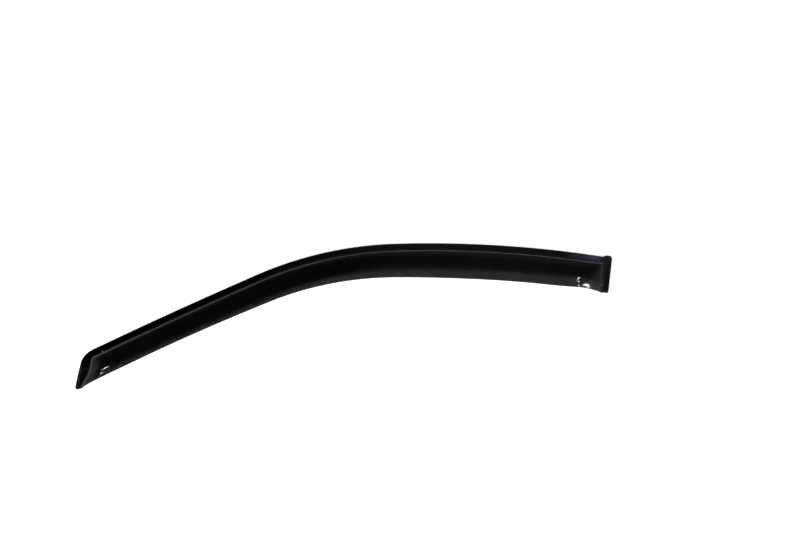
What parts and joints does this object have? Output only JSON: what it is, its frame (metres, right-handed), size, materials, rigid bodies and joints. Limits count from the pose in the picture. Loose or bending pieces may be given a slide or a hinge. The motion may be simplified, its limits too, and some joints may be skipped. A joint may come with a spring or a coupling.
{
  "type": "window rain deflector",
  "caption": "Curved dark acrylic window rain deflector for a front side door, with a taped flange, a crowned face, closed ends and foam tape behind.",
  "frame": {"origin": "on the table, under the middle of the part's bounding box, with the taped flange down", "axes": "+X towards the rear of the car, along the roof; +Y up the door; +Z outwards, away from the glass"},
  "size_m": [0.8712, 0.2564, 0.0182],
  "materials": {
    "smoked_acrylic": "dark smoked transparent acrylic, polished, a few percent of light passes",
    "foam_tape": "black closed-cell acrylic foam, matt cut edges",
    "liner_film": "thin red release film, satin"
  },
  "bodies": {
    "root": {"rain_shell": "smoked_acrylic", "long_tape": "foam_tape", "rear_tape": "foam_tape", "long_liner": "liner_film", "rear_liner": "liner_film"}
  },
  "joints": []
}
